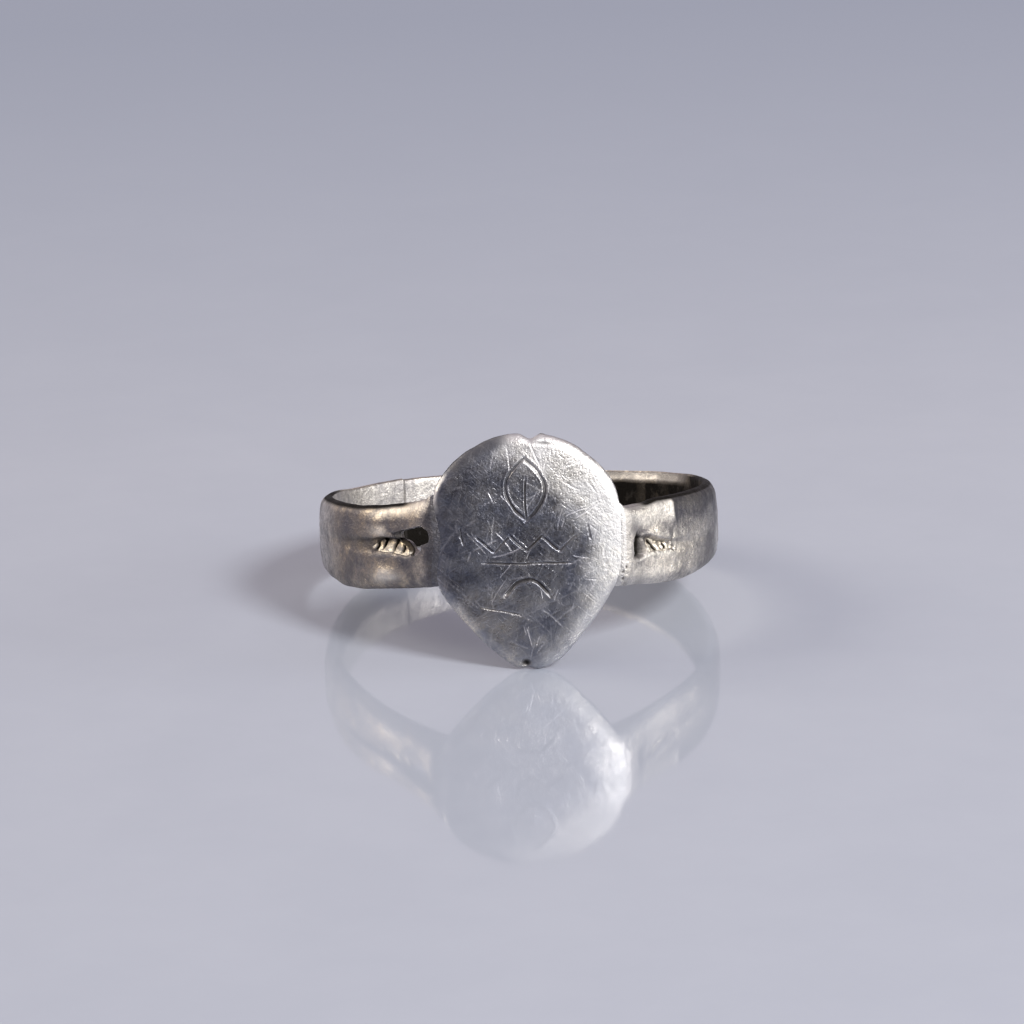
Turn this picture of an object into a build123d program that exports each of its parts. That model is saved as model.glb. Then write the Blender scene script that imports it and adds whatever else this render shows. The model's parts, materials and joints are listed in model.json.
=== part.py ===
"""Signet ring: a drop-shaped face plate soldered between the ends of two band arms, which meet in a
soldered seam at the back. A small leaf ornament sits in a pocket on each shoulder.

Row frame: +Z up, +X across the ring, +Y from the face plate to the back, origin on the finger hole's axis
in the band's middle. The ring lies as it rests on a table, on the plate's tip and the back of the band, so
the finger hole's axis leans back from +Z by REST_TILT. Everything is drawn on planes of the leaning ring.
Millimetres.
"""

from build123d import *

import os
from math import acos, asin, atan2, cos, degrees, hypot, pi, radians, sin, sqrt

# Band
BORE_R = 9.4
BAND_THICK = 0.8
BAND_R = BORE_R + BAND_THICK
BAND_FRONT = 4.3  # band width where it meets the plate
BAND_BACK = 3.8  # band width opposite the plate
BAND_EDGE_R = 0.3
GROOVE_R = 0.6  # a worn groove on each side, deepest by the pockets and gone at the sides
GROOVE_SHIFT = 0.25
GROOVE_START = 49.0  # degrees from the front

# Head: flat shoulder facets run from the plate's edge to a tangent on the round band
HEAD_HALF = 5.0
HEAD_FRONT = 9.75

# Face plate, a drop: a crown circle, a tip circle and two side arcs tangent to both
CROWN_R = 5.07
CROWN_X, CROWN_Z = 0.0, 0.47
TIP_R = 2.1
TIP_X, TIP_Z = 0.18, -4.14
SIDE_R = 15.0
PLATE_BACK = 9.4  # level with the finger hole, so the plate's flat back only touches it
PLATE_FACE = 10.2  # the middle of the domed face
DOME_R = 65.0
DOME_X, DOME_Z = 0.1, -0.4
RIM_R = 0.38
BLANK_EXTRA = 0.5  # the plate's blank is this much thicker, and the dome cuts it down
NOTCH = [(-0.25, 6.5), (-0.05, 5.42), (0.32, 5.28), (0.75, 5.4), (0.95, 6.5)]

# The device in the face
ENGRAVING = 0.2
STROKE = 0.18
LEAF_TIP, LEAF_FOOT = 4.3, 1.2
LEAF_HALF = 1.0
ZIGZAG_Z = 0.1
ZIGZAG_HIGH = 0.75
ZIGZAG_STEP = 0.8
ZIGZAG_COUNT = 3  # steps on each side of the middle
BAR_Z = -0.85
BAR_HALF = 2.2
ARCH_HALF = 1.1
ARCH_TOP, ARCH_LOW = -1.7, -2.5

# Solder
SOLDER = 0.1  # between the plate and the arms
LAP_START = 2.4  # the arms run in behind the plate as far as this from the middle
FILLET_RUN = 0.55
FILLET_SINK = 0.06  # how far the fillet's ends run into the plate and the band
FILLET_BACK = 9.0
FILLET_FRONT = 9.6
SEAM_GAP = 0.16
SEAM_ANGLE = 143.0  # from the front, on the -X side
SEAM_INNER = 5.0  # radius where the seam's slab starts, inside the finger hole
LAP_BOX = 5.0  # depth, centred on BAND_R, of the boxes that part the arms behind the plate

# Ornament pockets, measured along a shoulder facet from the plate's edge
POCKET_DEPTH = 0.4
POCKET_HIGH = 1.5
POCKET_Z = -0.08
LEFT_POCKET = (0.5, 4.0)
RIGHT_POCKET = (0.6, 3.75)
POCKET_CORNER_R = 0.3
OPENING = (4.7, 6.3)  # the left pocket breaks through to the finger hole beside the plate
LEFT_LEAVES = (1.45, 2.15, 2.85, 3.5)
RIGHT_LEAVES = (1.95, 2.75, 3.35)
LEAF_LONG, LEAF_WIDE = 1.25, 0.42
LEAF_LEAN = 62.0
RAIL_WIDE = 0.4
RAIL_Z = 0.38
LEAF_HIGH = 0.34
LEAF_TAPER = 14.0

LONG = 40.0

# The ring rests on the back edge of the plate's tip and on the rounded back edge of the band.
tip_low = TIP_Z - TIP_R
rise = BAND_EDGE_R - BAND_BACK / 2 - tip_low
reach = PLATE_BACK + BAND_R - BAND_EDGE_R
REST_TILT = atan2(rise, reach) - asin(BAND_EDGE_R / hypot(rise, reach))

ring = Plane(origin=(0, 0, 0), x_dir=(1, 0, 0), z_dir=(0, sin(REST_TILT), cos(REST_TILT)))
front = Plane(origin=(0, 0, 0), x_dir=(1, 0, 0), z_dir=-ring.y_dir)
side = Plane(origin=(0, 0, 0), x_dir=ring.y_dir, z_dir=(1, 0, 0))
ring_axis = Axis(ring.origin, ring.z_dir)
dome_centre = front.from_local_coords((DOME_X, DOME_Z, PLATE_FACE - DOME_R))
dome = Plane(origin=dome_centre, x_dir=front.x_dir, z_dir=-front.y_dir)


def ring_direction(angle):
    """The direction in the band's plane at an angle in degrees from the front, turning to +X."""
    return ring.x_dir * sin(radians(angle)) - ring.y_dir * cos(radians(angle))


def shoulder(sign):
    """Plane on a shoulder facet, origin at the plate's edge, x along the band and z outwards."""
    corner = degrees(atan2(HEAD_HALF, HEAD_FRONT))
    tangent = corner + degrees(acos(BAND_R / hypot(HEAD_HALF, HEAD_FRONT)))
    return Plane(
        origin=ring.from_local_coords((sign * HEAD_HALF, -HEAD_FRONT, 0)),
        x_dir=ring_direction(sign * (tangent + 90)),
        z_dir=ring_direction(sign * tangent),
    )


def drop_arcs(grow):
    """Start, middle and end of the four arcs round the plate, grown by an even margin."""
    span = hypot(TIP_X - CROWN_X, TIP_Z - CROWN_Z)
    axis = atan2(TIP_Z - CROWN_Z, TIP_X - CROWN_X)
    near = SIDE_R - CROWN_R
    far = SIDE_R - TIP_R
    bend = acos((near**2 + span**2 - far**2) / (2 * near * span))
    sides = []
    for turn in (1, -1):
        centre_x = CROWN_X + near * cos(axis + turn * bend)
        centre_z = CROWN_Z + near * sin(axis + turn * bend)
        start = atan2(CROWN_Z - centre_z, CROWN_X - centre_x)
        swing = (atan2(TIP_Z - centre_z, TIP_X - centre_x) - start + pi) % (2 * pi) - pi
        angles = (start, start + swing / 2, start + swing)
        radius = SIDE_R + grow
        sides.append([(centre_x + radius * cos(a), centre_z + radius * sin(a)) for a in angles])
    one, other = sides
    return [
        (other[0], (CROWN_X, CROWN_Z + CROWN_R + grow), one[0]),
        (one[0], one[1], one[2]),
        (one[2], (TIP_X, TIP_Z - TIP_R - grow), other[2]),
        (other[2], other[1], other[0]),
    ]


with BuildPart() as signet_plate:
    with BuildSketch(front.offset(PLATE_BACK)):
        with BuildLine():
            for start, middle, end in drop_arcs(0):
                ThreePointArc(start, middle, end)
        make_face()
    extrude(amount=PLATE_FACE - PLATE_BACK + BLANK_EXTRA)
    with BuildSketch(dome):
        with BuildLine():
            CenterArc((0, 0), DOME_R, -90, 180)
            Line((0, DOME_R), (0, -DOME_R))
        make_face()
    revolve(axis=Axis(dome.origin, dome.y_dir), mode=Mode.INTERSECT)
    face = signet_plate.faces().sort_by(Axis(front.origin, front.z_dir))[-1]
    fillet(face.edges(), RIM_R)
    with BuildSketch(front.offset(PLATE_BACK)):  # dent in the top edge
        Polygon(*NOTCH, align=None)
    extrude(amount=LONG, mode=Mode.SUBTRACT)
    with BuildSketch(ring):
        Circle(BORE_R)
    extrude(amount=LONG, both=True, mode=Mode.SUBTRACT)
    with BuildSketch(front.offset(PLATE_FACE - ENGRAVING)):
        for turn in (-1, 1):
            with BuildLine():
                ThreePointArc(
                    (0, LEAF_TIP), (turn * LEAF_HALF, (LEAF_TIP + LEAF_FOOT) / 2), (0, LEAF_FOOT)
                )
            trace(line_width=STROKE)
        with BuildLine():
            Line((0, LEAF_TIP - LEAF_HALF), (0, LEAF_FOOT))
        trace(line_width=STROKE)
        with BuildLine():
            Polyline(
                *[
                    (step * ZIGZAG_STEP, ZIGZAG_Z + ZIGZAG_HIGH / 2 * (-1) ** step)
                    for step in range(-ZIGZAG_COUNT, ZIGZAG_COUNT + 1)
                ]
            )
        trace(line_width=STROKE)
        with BuildLine():
            Line((-BAR_HALF, BAR_Z), (BAR_HALF, BAR_Z))
        trace(line_width=STROKE)
        with BuildLine():
            ThreePointArc((-ARCH_HALF, ARCH_LOW), (0, ARCH_TOP), (ARCH_HALF, ARCH_LOW))
        trace(line_width=STROKE)
    extrude(amount=LONG, mode=Mode.SUBTRACT)

# The whole band before it is cut, so that the arms and the solder share its surfaces
with BuildPart() as band:
    with BuildSketch(ring):
        Circle(BAND_R)
        with Locations((0, -HEAD_FRONT / 2)):
            Rectangle(2 * HEAD_HALF, HEAD_FRONT)
        make_hull()
    extrude(amount=BAND_FRONT, both=True)
    with BuildSketch(side):
        Polygon(
            (-HEAD_FRONT, BAND_FRONT / 2),
            (-HEAD_FRONT, -BAND_FRONT / 2),
            (BAND_R, -BAND_BACK / 2),
            (BAND_R, BAND_BACK / 2),
            align=None,
        )
    extrude(amount=LONG, both=True, mode=Mode.INTERSECT)
    rims = band.faces().sort_by(ring_axis)
    fillet(rims[0].edges() + rims[-1].edges(), BAND_EDGE_R)
    with BuildSketch(ring):
        Circle(BORE_R)
    extrude(amount=LONG, both=True, mode=Mode.SUBTRACT)
    groove_start = ring_direction(GROOVE_START)
    groove_plane = Plane(
        origin=ring.from_local_coords((0, GROOVE_SHIFT, 0)),
        x_dir=groove_start,
        z_dir=groove_start.cross(ring.z_dir),
    )
    with BuildSketch(groove_plane):
        with Locations((BAND_R + GROOVE_R, 0)):
            Circle(GROOVE_R)
    revolve(
        axis=Axis(groove_plane.origin, ring.z_dir),
        revolution_arc=360 - 2 * GROOVE_START,
        mode=Mode.SUBTRACT,
    )

# What the plate and its solder take out of the band
with BuildPart() as plate_seat:
    with BuildSketch(front.offset(PLATE_BACK - SOLDER)):
        with BuildLine():
            for start, middle, end in drop_arcs(SOLDER):
                ThreePointArc(start, middle, end)
        make_face()
    extrude(amount=LONG)


def half_band(sign):
    """Corners of the band's share on one side of the seam, in the band's plane."""
    seam_x = -LONG * sin(radians(SEAM_ANGLE))
    seam_y = -LONG * cos(radians(SEAM_ANGLE))
    if sign < 0:
        return [(0, 0), (seam_x, seam_y), (-LONG, 0), (-LONG, -LONG), (0, -LONG)]
    return [(0, 0), (0, -LONG), (LONG, -LONG), (LONG, LONG), (seam_x, LONG), (seam_x, seam_y)]


def seam_slab():
    """Corners of a slab across the band's wall at the seam, in the band's plane."""
    along = (-sin(radians(SEAM_ANGLE)), -cos(radians(SEAM_ANGLE)))
    half = SEAM_GAP / 2
    outer = BAND_R + BAND_THICK
    corners = []
    for radius, step in ((SEAM_INNER, -half), (SEAM_INNER, half), (outer, half), (outer, -half)):
        corners.append((along[0] * radius - along[1] * step, along[1] * radius + along[0] * step))
    return corners


with BuildPart() as left_arm:
    add(band.part)
    with BuildSketch(ring):
        Polygon(*half_band(-1), align=None)
    extrude(amount=LONG, both=True, mode=Mode.INTERSECT)
    with BuildSketch(ring):
        Polygon(*seam_slab(), align=None)
        with Locations((0, -BAND_R)):
            Rectangle(2 * LAP_START, LAP_BOX)
    extrude(amount=LONG, both=True, mode=Mode.SUBTRACT)
    add(plate_seat.part, mode=Mode.SUBTRACT)
    with BuildSketch(shoulder(-1).offset(-POCKET_DEPTH)):
        with Locations((sum(LEFT_POCKET) / 2, -POCKET_Z)):
            RectangleRounded(LEFT_POCKET[1] - LEFT_POCKET[0], POCKET_HIGH, POCKET_CORNER_R)
    extrude(amount=LONG, mode=Mode.SUBTRACT)
    with BuildSketch(front):
        with Locations((-sum(OPENING) / 2, POCKET_Z)):
            RectangleRounded(OPENING[1] - OPENING[0], POCKET_HIGH, POCKET_CORNER_R)
    extrude(amount=LONG, mode=Mode.SUBTRACT)

with BuildPart() as right_arm:
    add(band.part)
    with BuildSketch(ring):
        Polygon(*half_band(1), align=None)
    extrude(amount=LONG, both=True, mode=Mode.INTERSECT)
    with BuildSketch(ring):
        Polygon(*seam_slab(), align=None)
        with Locations((0, -BAND_R)):
            Rectangle(2 * LAP_START, LAP_BOX)
    extrude(amount=LONG, both=True, mode=Mode.SUBTRACT)
    add(plate_seat.part, mode=Mode.SUBTRACT)
    with BuildSketch(shoulder(1).offset(-POCKET_DEPTH)):
        with Locations((sum(RIGHT_POCKET) / 2, POCKET_Z)):
            RectangleRounded(RIGHT_POCKET[1] - RIGHT_POCKET[0], POCKET_HIGH, POCKET_CORNER_R)
    extrude(amount=LONG, mode=Mode.SUBTRACT)

with BuildPart() as seam_solder:
    add(band.part)
    with BuildSketch(ring):
        Polygon(*seam_slab(), align=None)
    extrude(amount=LONG, both=True, mode=Mode.INTERSECT)


def solder_corner(sign, edge):
    """Ends, middle and root of a concave solder fillet where the plate's edge crosses the band's edge."""
    z = edge * BAND_FRONT / 2
    x = sign * sqrt(CROWN_R**2 - (z - CROWN_Z) ** 2)
    turn = sign * edge * FILLET_RUN / CROWN_R
    share = 1 - FILLET_SINK / CROWN_R
    up = (
        share * (x * cos(turn) - (z - CROWN_Z) * sin(turn)),
        CROWN_Z + share * (x * sin(turn) + (z - CROWN_Z) * cos(turn)),
    )
    out = (x + sign * FILLET_RUN, z - edge * FILLET_SINK)
    middle = (0.5 * x + 0.25 * (up[0] + out[0]), 0.5 * z + 0.25 * (up[1] + out[1]))
    root = (x - sign * FILLET_RUN, z - edge * FILLET_RUN)
    return up, middle, out, root


with BuildPart() as left_solder:
    add(band.part)
    with BuildSketch(ring):
        with Locations((-LONG / 2 - LAP_START, -BAND_R)):
            Rectangle(LONG, LAP_BOX)
    extrude(amount=LONG, both=True, mode=Mode.INTERSECT)
    add(plate_seat.part, mode=Mode.INTERSECT)
    for edge in (-1, 1):
        up, middle, out, root = solder_corner(-1, edge)
        with BuildSketch(front.offset(FILLET_BACK)):
            with BuildLine():
                ThreePointArc(up, middle, out)
                Polyline(out, root, up)
            make_face()
        extrude(amount=FILLET_FRONT - FILLET_BACK)
    with BuildSketch(front.offset(FILLET_FRONT)):
        Rectangle(LONG, LONG)
    extrude(amount=LONG, mode=Mode.SUBTRACT)
    add(signet_plate.part, mode=Mode.SUBTRACT)
    add(left_arm.part, mode=Mode.SUBTRACT)

with BuildPart() as right_solder:
    add(band.part)
    with BuildSketch(ring):
        with Locations((LONG / 2 + LAP_START, -BAND_R)):
            Rectangle(LONG, LAP_BOX)
    extrude(amount=LONG, both=True, mode=Mode.INTERSECT)
    add(plate_seat.part, mode=Mode.INTERSECT)
    for edge in (-1, 1):
        up, middle, out, root = solder_corner(1, edge)
        with BuildSketch(front.offset(FILLET_BACK)):
            with BuildLine():
                ThreePointArc(up, middle, out)
                Polyline(out, root, up)
            make_face()
        extrude(amount=FILLET_FRONT - FILLET_BACK)
    with BuildSketch(front.offset(FILLET_FRONT)):
        Rectangle(LONG, LONG)
    extrude(amount=LONG, mode=Mode.SUBTRACT)
    add(signet_plate.part, mode=Mode.SUBTRACT)
    add(right_arm.part, mode=Mode.SUBTRACT)

with BuildPart() as left_ornament:
    with BuildSketch(shoulder(-1).offset(-POCKET_DEPTH)):
        with Locations(*[(s, -POCKET_Z) for s in LEFT_LEAVES]):
            SlotOverall(LEAF_LONG, LEAF_WIDE, rotation=LEAF_LEAN)
        with Locations(((LEFT_LEAVES[0] + LEFT_LEAVES[-1]) / 2, -RAIL_Z)):
            SlotOverall(LEFT_LEAVES[-1] - LEFT_LEAVES[0] + RAIL_WIDE, RAIL_WIDE)
    extrude(amount=LEAF_HIGH, taper=LEAF_TAPER)

with BuildPart() as right_ornament:
    with BuildSketch(shoulder(1).offset(-POCKET_DEPTH)):
        with Locations(*[(s, POCKET_Z) for s in RIGHT_LEAVES]):
            SlotOverall(LEAF_LONG, LEAF_WIDE, rotation=-LEAF_LEAN)
        with Locations(((RIGHT_LEAVES[0] + RIGHT_LEAVES[-1]) / 2, RAIL_Z)):
            SlotOverall(RIGHT_LEAVES[-1] - RIGHT_LEAVES[0] + RAIL_WIDE, RAIL_WIDE)
    extrude(amount=LEAF_HIGH, taper=LEAF_TAPER)

os.makedirs("parts", exist_ok=True)
signet_plate.part.label = "signet_plate"
export_step(signet_plate.part, "parts/signet_plate.step")
left_arm.part.label = "left_arm"
export_step(left_arm.part, "parts/left_arm.step")
right_arm.part.label = "right_arm"
export_step(right_arm.part, "parts/right_arm.step")
seam_solder.part.label = "seam_solder"
export_step(seam_solder.part, "parts/seam_solder.step")
left_solder.part.label = "left_solder"
export_step(left_solder.part, "parts/left_solder.step")
right_solder.part.label = "right_solder"
export_step(right_solder.part, "parts/right_solder.step")
left_ornament.part.label = "left_ornament"
export_step(left_ornament.part, "parts/left_ornament.step")
right_ornament.part.label = "right_ornament"
export_step(right_ornament.part, "parts/right_ornament.step")
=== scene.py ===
"""Looks of the worn silver signet ring. Its shapes are in millimetres, which to_row turns into metres."""

import functools
import json
import math
import bmesh
import bpy
import numpy as np
from mathutils import Matrix, Vector


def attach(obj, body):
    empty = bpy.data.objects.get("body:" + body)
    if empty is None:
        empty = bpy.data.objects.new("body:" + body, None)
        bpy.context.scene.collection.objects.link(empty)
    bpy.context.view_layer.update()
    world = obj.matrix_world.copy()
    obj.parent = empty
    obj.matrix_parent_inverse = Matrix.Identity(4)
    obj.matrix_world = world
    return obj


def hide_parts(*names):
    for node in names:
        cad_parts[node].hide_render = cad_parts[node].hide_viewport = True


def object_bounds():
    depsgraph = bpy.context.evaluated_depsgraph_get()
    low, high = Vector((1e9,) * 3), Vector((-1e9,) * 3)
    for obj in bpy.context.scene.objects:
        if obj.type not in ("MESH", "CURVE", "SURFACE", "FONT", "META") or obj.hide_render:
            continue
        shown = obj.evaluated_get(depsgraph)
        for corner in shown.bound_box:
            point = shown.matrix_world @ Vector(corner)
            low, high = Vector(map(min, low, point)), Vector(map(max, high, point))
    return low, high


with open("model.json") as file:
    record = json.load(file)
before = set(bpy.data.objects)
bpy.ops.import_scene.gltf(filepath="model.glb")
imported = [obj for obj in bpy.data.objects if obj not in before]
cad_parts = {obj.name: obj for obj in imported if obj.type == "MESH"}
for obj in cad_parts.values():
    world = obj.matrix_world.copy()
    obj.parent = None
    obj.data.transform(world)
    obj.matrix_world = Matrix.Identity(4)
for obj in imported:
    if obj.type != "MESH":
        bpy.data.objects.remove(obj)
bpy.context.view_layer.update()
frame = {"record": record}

# ---- sizes in mm, as in the CAD
BORE_R = 9.4
BAND_R = 10.2
HEAD_HALF, HEAD_FRONT = 5.0, 9.75
CROWN_R, CROWN_X, CROWN_Z = 5.07, 0.0, 0.47
TIP_R, TIP_X, TIP_Z = 2.1, 0.18, -4.14
SIDE_R = 15.0
PLATE_BACK, PLATE_FACE = 9.4, 10.2
DOME_R, DOME_X, DOME_Z = 65.0, 0.1, -0.4
SEAM_ANGLE = 143.0
SEAM_HALF = 0.08
LAP_START = 2.4  # the arms run in behind the plate as far as this from the middle
MM = 0.001
LEFT, RIGHT = -1, 1
SIDE_NAME = {LEFT: "left", RIGHT: "right"}
MASKS = ("grime_and_shade", "rubbed_and_highlight", "warm", "oxide_and_shade", "scratch")  # values on the meshes that the silver reads
SHARP_ANGLE, HOLE_SHARP_ANGLE = 48, 50  # degrees between faces from which an edge is shown sharp

ring_z = np.array(frame["record"]["mounts"][0]["axis"], float)
ring_z /= np.linalg.norm(ring_z)
ring_x = np.array([1.0, 0.0, 0.0])
ring_y = np.cross(ring_z, ring_x)


def to_row(x, y, z):
    """Ring millimetres to row metres."""
    x, y, z = np.broadcast_arrays(x, y, z)
    return (x[..., None] * ring_x + y[..., None] * ring_y + z[..., None] * ring_z) * MM


# ---- small helpers
def smooth(t):
    t = np.clip(t, 0.0, 1.0)
    return t * t * (3 - 2 * t)


def bell(t):
    return np.exp(-t * t)


def table(at, pairs, blur=0.0):
    """Value of a table of (place, value) pairs, averaged over blur to each side of the place."""
    places, values = zip(*pairs)
    steps = (-1, -0.5, 0, 0.5, 1) if blur else (0,)
    return np.mean([np.interp(at + step * blur, places, values) for step in steps], axis=0)


def lattice(ix, iy, iz, seed):
    n = (ix * 374761393 + iy * 668265263 + iz * 1274126177 + seed * 1013904223) & 0xFFFFFFFF
    n = ((n ^ (n >> 13)) * 1103515245) & 0xFFFFFFFF
    n = (n ^ (n >> 16)) & 0xFFFF
    return n / 32767.5 - 1.0


def noise(x, y, z, scale, seed, octaves=1):
    """Smooth value noise, about -1 to 1. scale is the size of its features in mm."""
    x, y, z = np.broadcast_arrays(np.asarray(x, float), np.asarray(y, float), np.asarray(z, float))
    total = np.zeros(x.shape)
    weight = 1.0
    for octave in range(octaves):
        px, py, pz = x / scale + 17.3, y / scale - 5.1, z / scale + 9.7
        ix, iy, iz = (np.floor(p).astype(np.int64) for p in (px, py, pz))
        fx, fy, fz = px - ix, py - iy, pz - iz
        ux, uy, uz = (f**3 * (f * (f * 6 - 15) + 10) for f in (fx, fy, fz))
        value = 0.0
        for dx in (0, 1):
            for dy in (0, 1):
                for dz in (0, 1):
                    w = (ux if dx else 1 - ux) * (uy if dy else 1 - uy) * (uz if dz else 1 - uz)
                    value = value + w * lattice(ix + dx, iy + dy, iz + dz, seed + octave * 31)
        total += weight * value
        weight *= 0.5
        scale *= 0.5
    return total


def polyline_distance(x, z, points, closed=False):
    """Distance from each (x, z) to a polyline, and the share of its length at the nearest point."""
    points = np.asarray(points, float)
    if closed:
        points = np.vstack([points, points[:1]])
    starts, ends = points[:-1], points[1:]
    lengths = np.hypot(*(ends - starts).T)
    before = np.concatenate([[0], np.cumsum(lengths)])
    best = np.full(x.shape, 1e9)
    share = np.zeros(x.shape)
    for a, b, length, run in zip(starts, ends, lengths, before):
        d = b - a
        t = np.clip(((x - a[0]) * d[0] + (z - a[1]) * d[1]) / (length**2 + 1e-12), 0, 1)
        dist = np.hypot(x - a[0] - t * d[0], z - a[1] - t * d[1])
        nearer = dist < best
        best = np.where(nearer, dist, best)
        share = np.where(nearer, (run + t * length) / before[-1], share)
    return best, share


def face_outwards(mesh):
    """Turn a closed mesh's faces outwards."""
    shell = bmesh.new()
    shell.from_mesh(mesh)
    inside_out = shell.calc_volume(signed=True) < 0
    shell.free()
    if inside_out:
        mesh.flip_normals()


def make_mesh(name, points, masks):
    """A closed mesh from a grid of points (rows, columns, 3). Each row is a loop, and fans close the first
    and the last one. masks holds a value for each point."""
    rows, columns = points.shape[:2]
    index = np.arange(rows * columns).reshape(rows, columns)
    a, b = index[:-1], index[1:]
    faces = np.stack([a, np.roll(a, -1, 1), np.roll(b, -1, 1), b], -1).reshape(-1, 4).tolist()
    verts = points.reshape(-1, 3)
    values = {key: np.asarray(mask, float).reshape(-1) for key, mask in masks.items()}
    for ring in (index[0][::-1], index[-1]):
        centre = len(verts)
        verts = np.vstack([verts, verts[ring].mean(0)])
        for key in values:
            values[key] = np.append(values[key], values[key][ring].mean())
        faces += [(centre, int(p), int(q)) for p, q in zip(ring, np.roll(ring, -1))]
    mesh = bpy.data.meshes.new(name)
    mesh.from_pydata(verts.tolist(), [], faces)
    for key, value in values.items():
        layer = mesh.attributes.new(key, "FLOAT", "POINT")
        layer.data.foreach_set("value", value.astype(np.float32))
    mesh.validate()
    face_outwards(mesh)
    return mesh


def shade(mesh, sharp_angle):
    """Smooth shading, with sharp edges where faces meet at more than an angle in degrees."""
    mesh.polygons.foreach_set("use_smooth", [True] * len(mesh.polygons))
    mesh.set_sharp_from_angle(angle=math.radians(sharp_angle))


def link(name, data):
    """A new object in the scene."""
    obj = bpy.data.objects.new(name, data)
    bpy.context.scene.collection.objects.link(obj)
    return obj


def build(name, points, masks, material, node_name):
    """A visible piece that stands for a CAD node."""
    mesh = make_mesh(name, points, masks)
    shade(mesh, SHARP_ANGLE)
    mesh.materials.append(material)
    piece = link(name, mesh)
    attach(piece, "root")
    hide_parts(node_name)
    return piece


# ---- plate outline
def outline_arcs():
    """Centre, first angle and swing of the left and the right side arc."""
    span = math.hypot(TIP_X - CROWN_X, TIP_Z - CROWN_Z)
    lean = math.atan2(TIP_Z - CROWN_Z, TIP_X - CROWN_X)
    near, far = SIDE_R - CROWN_R, SIDE_R - TIP_R
    bend = math.acos((near**2 + span**2 - far**2) / (2 * near * span))
    arcs = []
    for turn in (1, -1):
        cx = CROWN_X + near * math.cos(lean + turn * bend)
        cz = CROWN_Z + near * math.sin(lean + turn * bend)
        start = math.atan2(CROWN_Z - cz, CROWN_X - cx)
        swing = (math.atan2(TIP_Z - cz, TIP_X - cx) - start + math.pi) % (2 * math.pi) - math.pi
        arcs.append((cx, cz, start, swing))
    return arcs


def outline(count):
    """Points round the plate's edge at even steps, from the crown's top, turning to +X first."""
    (lx, lz, l0, ls), (rx, rz, r0, rs) = outline_arcs()
    arcs = (
        (CROWN_X, CROWN_Z, CROWN_R, np.linspace(math.pi / 2, r0, 400)),
        (rx, rz, SIDE_R, r0 + np.linspace(0, 1, 300)[1:] * rs),
        (TIP_X, TIP_Z, TIP_R, np.linspace(r0 + rs, l0 + ls, 300)[1:]),
        (lx, lz, SIDE_R, l0 + np.linspace(1, 0, 300)[1:] * ls),
        (CROWN_X, CROWN_Z, CROWN_R, np.linspace(l0, -1.5 * math.pi, 400)[1:]),
    )
    pts = np.array([(x + r * math.cos(a), z + r * math.sin(a)) for x, z, r, turn in arcs for a in turn])
    steps = np.hypot(*np.diff(pts, axis=0).T)
    run = np.concatenate([[0], np.cumsum(steps)])
    at = np.linspace(0, run[-1], count, endpoint=False)
    return np.stack([np.interp(at, run, pts[:, 0]), np.interp(at, run, pts[:, 1])], 1)


# ---- plate
EDGE = outline(680)
FLANK_LEFT, FLANK_RIGHT = 0.85, 0.34  # how much narrower the worn plate is beside the arms
flank = smooth(1 - np.abs(EDGE[:, 1] - 0.4) / 2.9)
EDGE[:, 0] -= np.sign(EDGE[:, 0]) * flank * np.where(EDGE[:, 0] < 0, FLANK_LEFT, FLANK_RIGHT)
along = np.roll(EDGE, -1, 0) - np.roll(EDGE, 1, 0)
along /= np.hypot(*along.T)[:, None]
EDGE_IN = np.stack([along[:, 1], -along[:, 0]], 1)  # the edge runs clockwise, so inward is to its right


def band_zone(x, z):
    """1 where the plate's edge runs into the band, 0 where it stands free."""
    right = smooth((x + 1.5) / 3.0)
    high, low = 2.45 - 0.65 * right, -1.85 - 0.25 * right
    return smooth((high + 0.45 - z) / 0.9) * smooth((z - low + 0.45) / 0.9)


def rim_radius(x, z):
    """Width of the worn rounding inside the edge, wider on the lower right."""
    wide = smooth((x + 0.5) / 3.5) * smooth((1.5 - z) / 3.0)
    return 0.55 + 0.3 * wide + 0.06 * noise(x, z, 0, 1.1, 3)


def rim_drop(x, z):
    return 0.26 * (1 - band_zone(x, z)) + 0.01 * band_zone(x, z)


def face_drop(x, z, s):
    """How far the face lies behind PLATE_FACE at a place that is s inside the edge."""
    sag = ((x - DOME_X) ** 2 + (z - DOME_Z) ** 2) / (2 * DOME_R)
    reach = np.hypot((x - DOME_X) / 5.0, (z - DOME_Z) / 5.9)
    zone = band_zone(x, z)
    sag = sag + 0.2 * reach**4 * (1 - 0.55 * zone)
    flow = np.clip((np.abs(x) - np.where(x < 0, 2.2, 2.7)) / 2.0, 0, 1.3)
    sag = sag + 0.2 * zone * flow**2
    t = np.clip(s / rim_radius(x, z), 0, 1)
    free = 1 - np.sqrt(np.clip(1 - (1 - t) ** 2, 0, 1))
    shape = free * (1 - zone) + (1 - t) ** 2 * zone
    return sag + rim_drop(x, z) * shape


# The worn device: a leaf, a zigzag over a bar, an arch, and short strokes. Each stroke is a list of
# points, its half-width and its depth.
def arc_points(start, middle, end, count=14):
    t = np.linspace(0, 1, count)[:, None]
    start, middle, end = (np.array(p, float) for p in (start, middle, end))
    control = 2 * middle - (start + end) / 2
    return (1 - t) ** 2 * start + 2 * t * (1 - t) * control + t**2 * end


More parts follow.
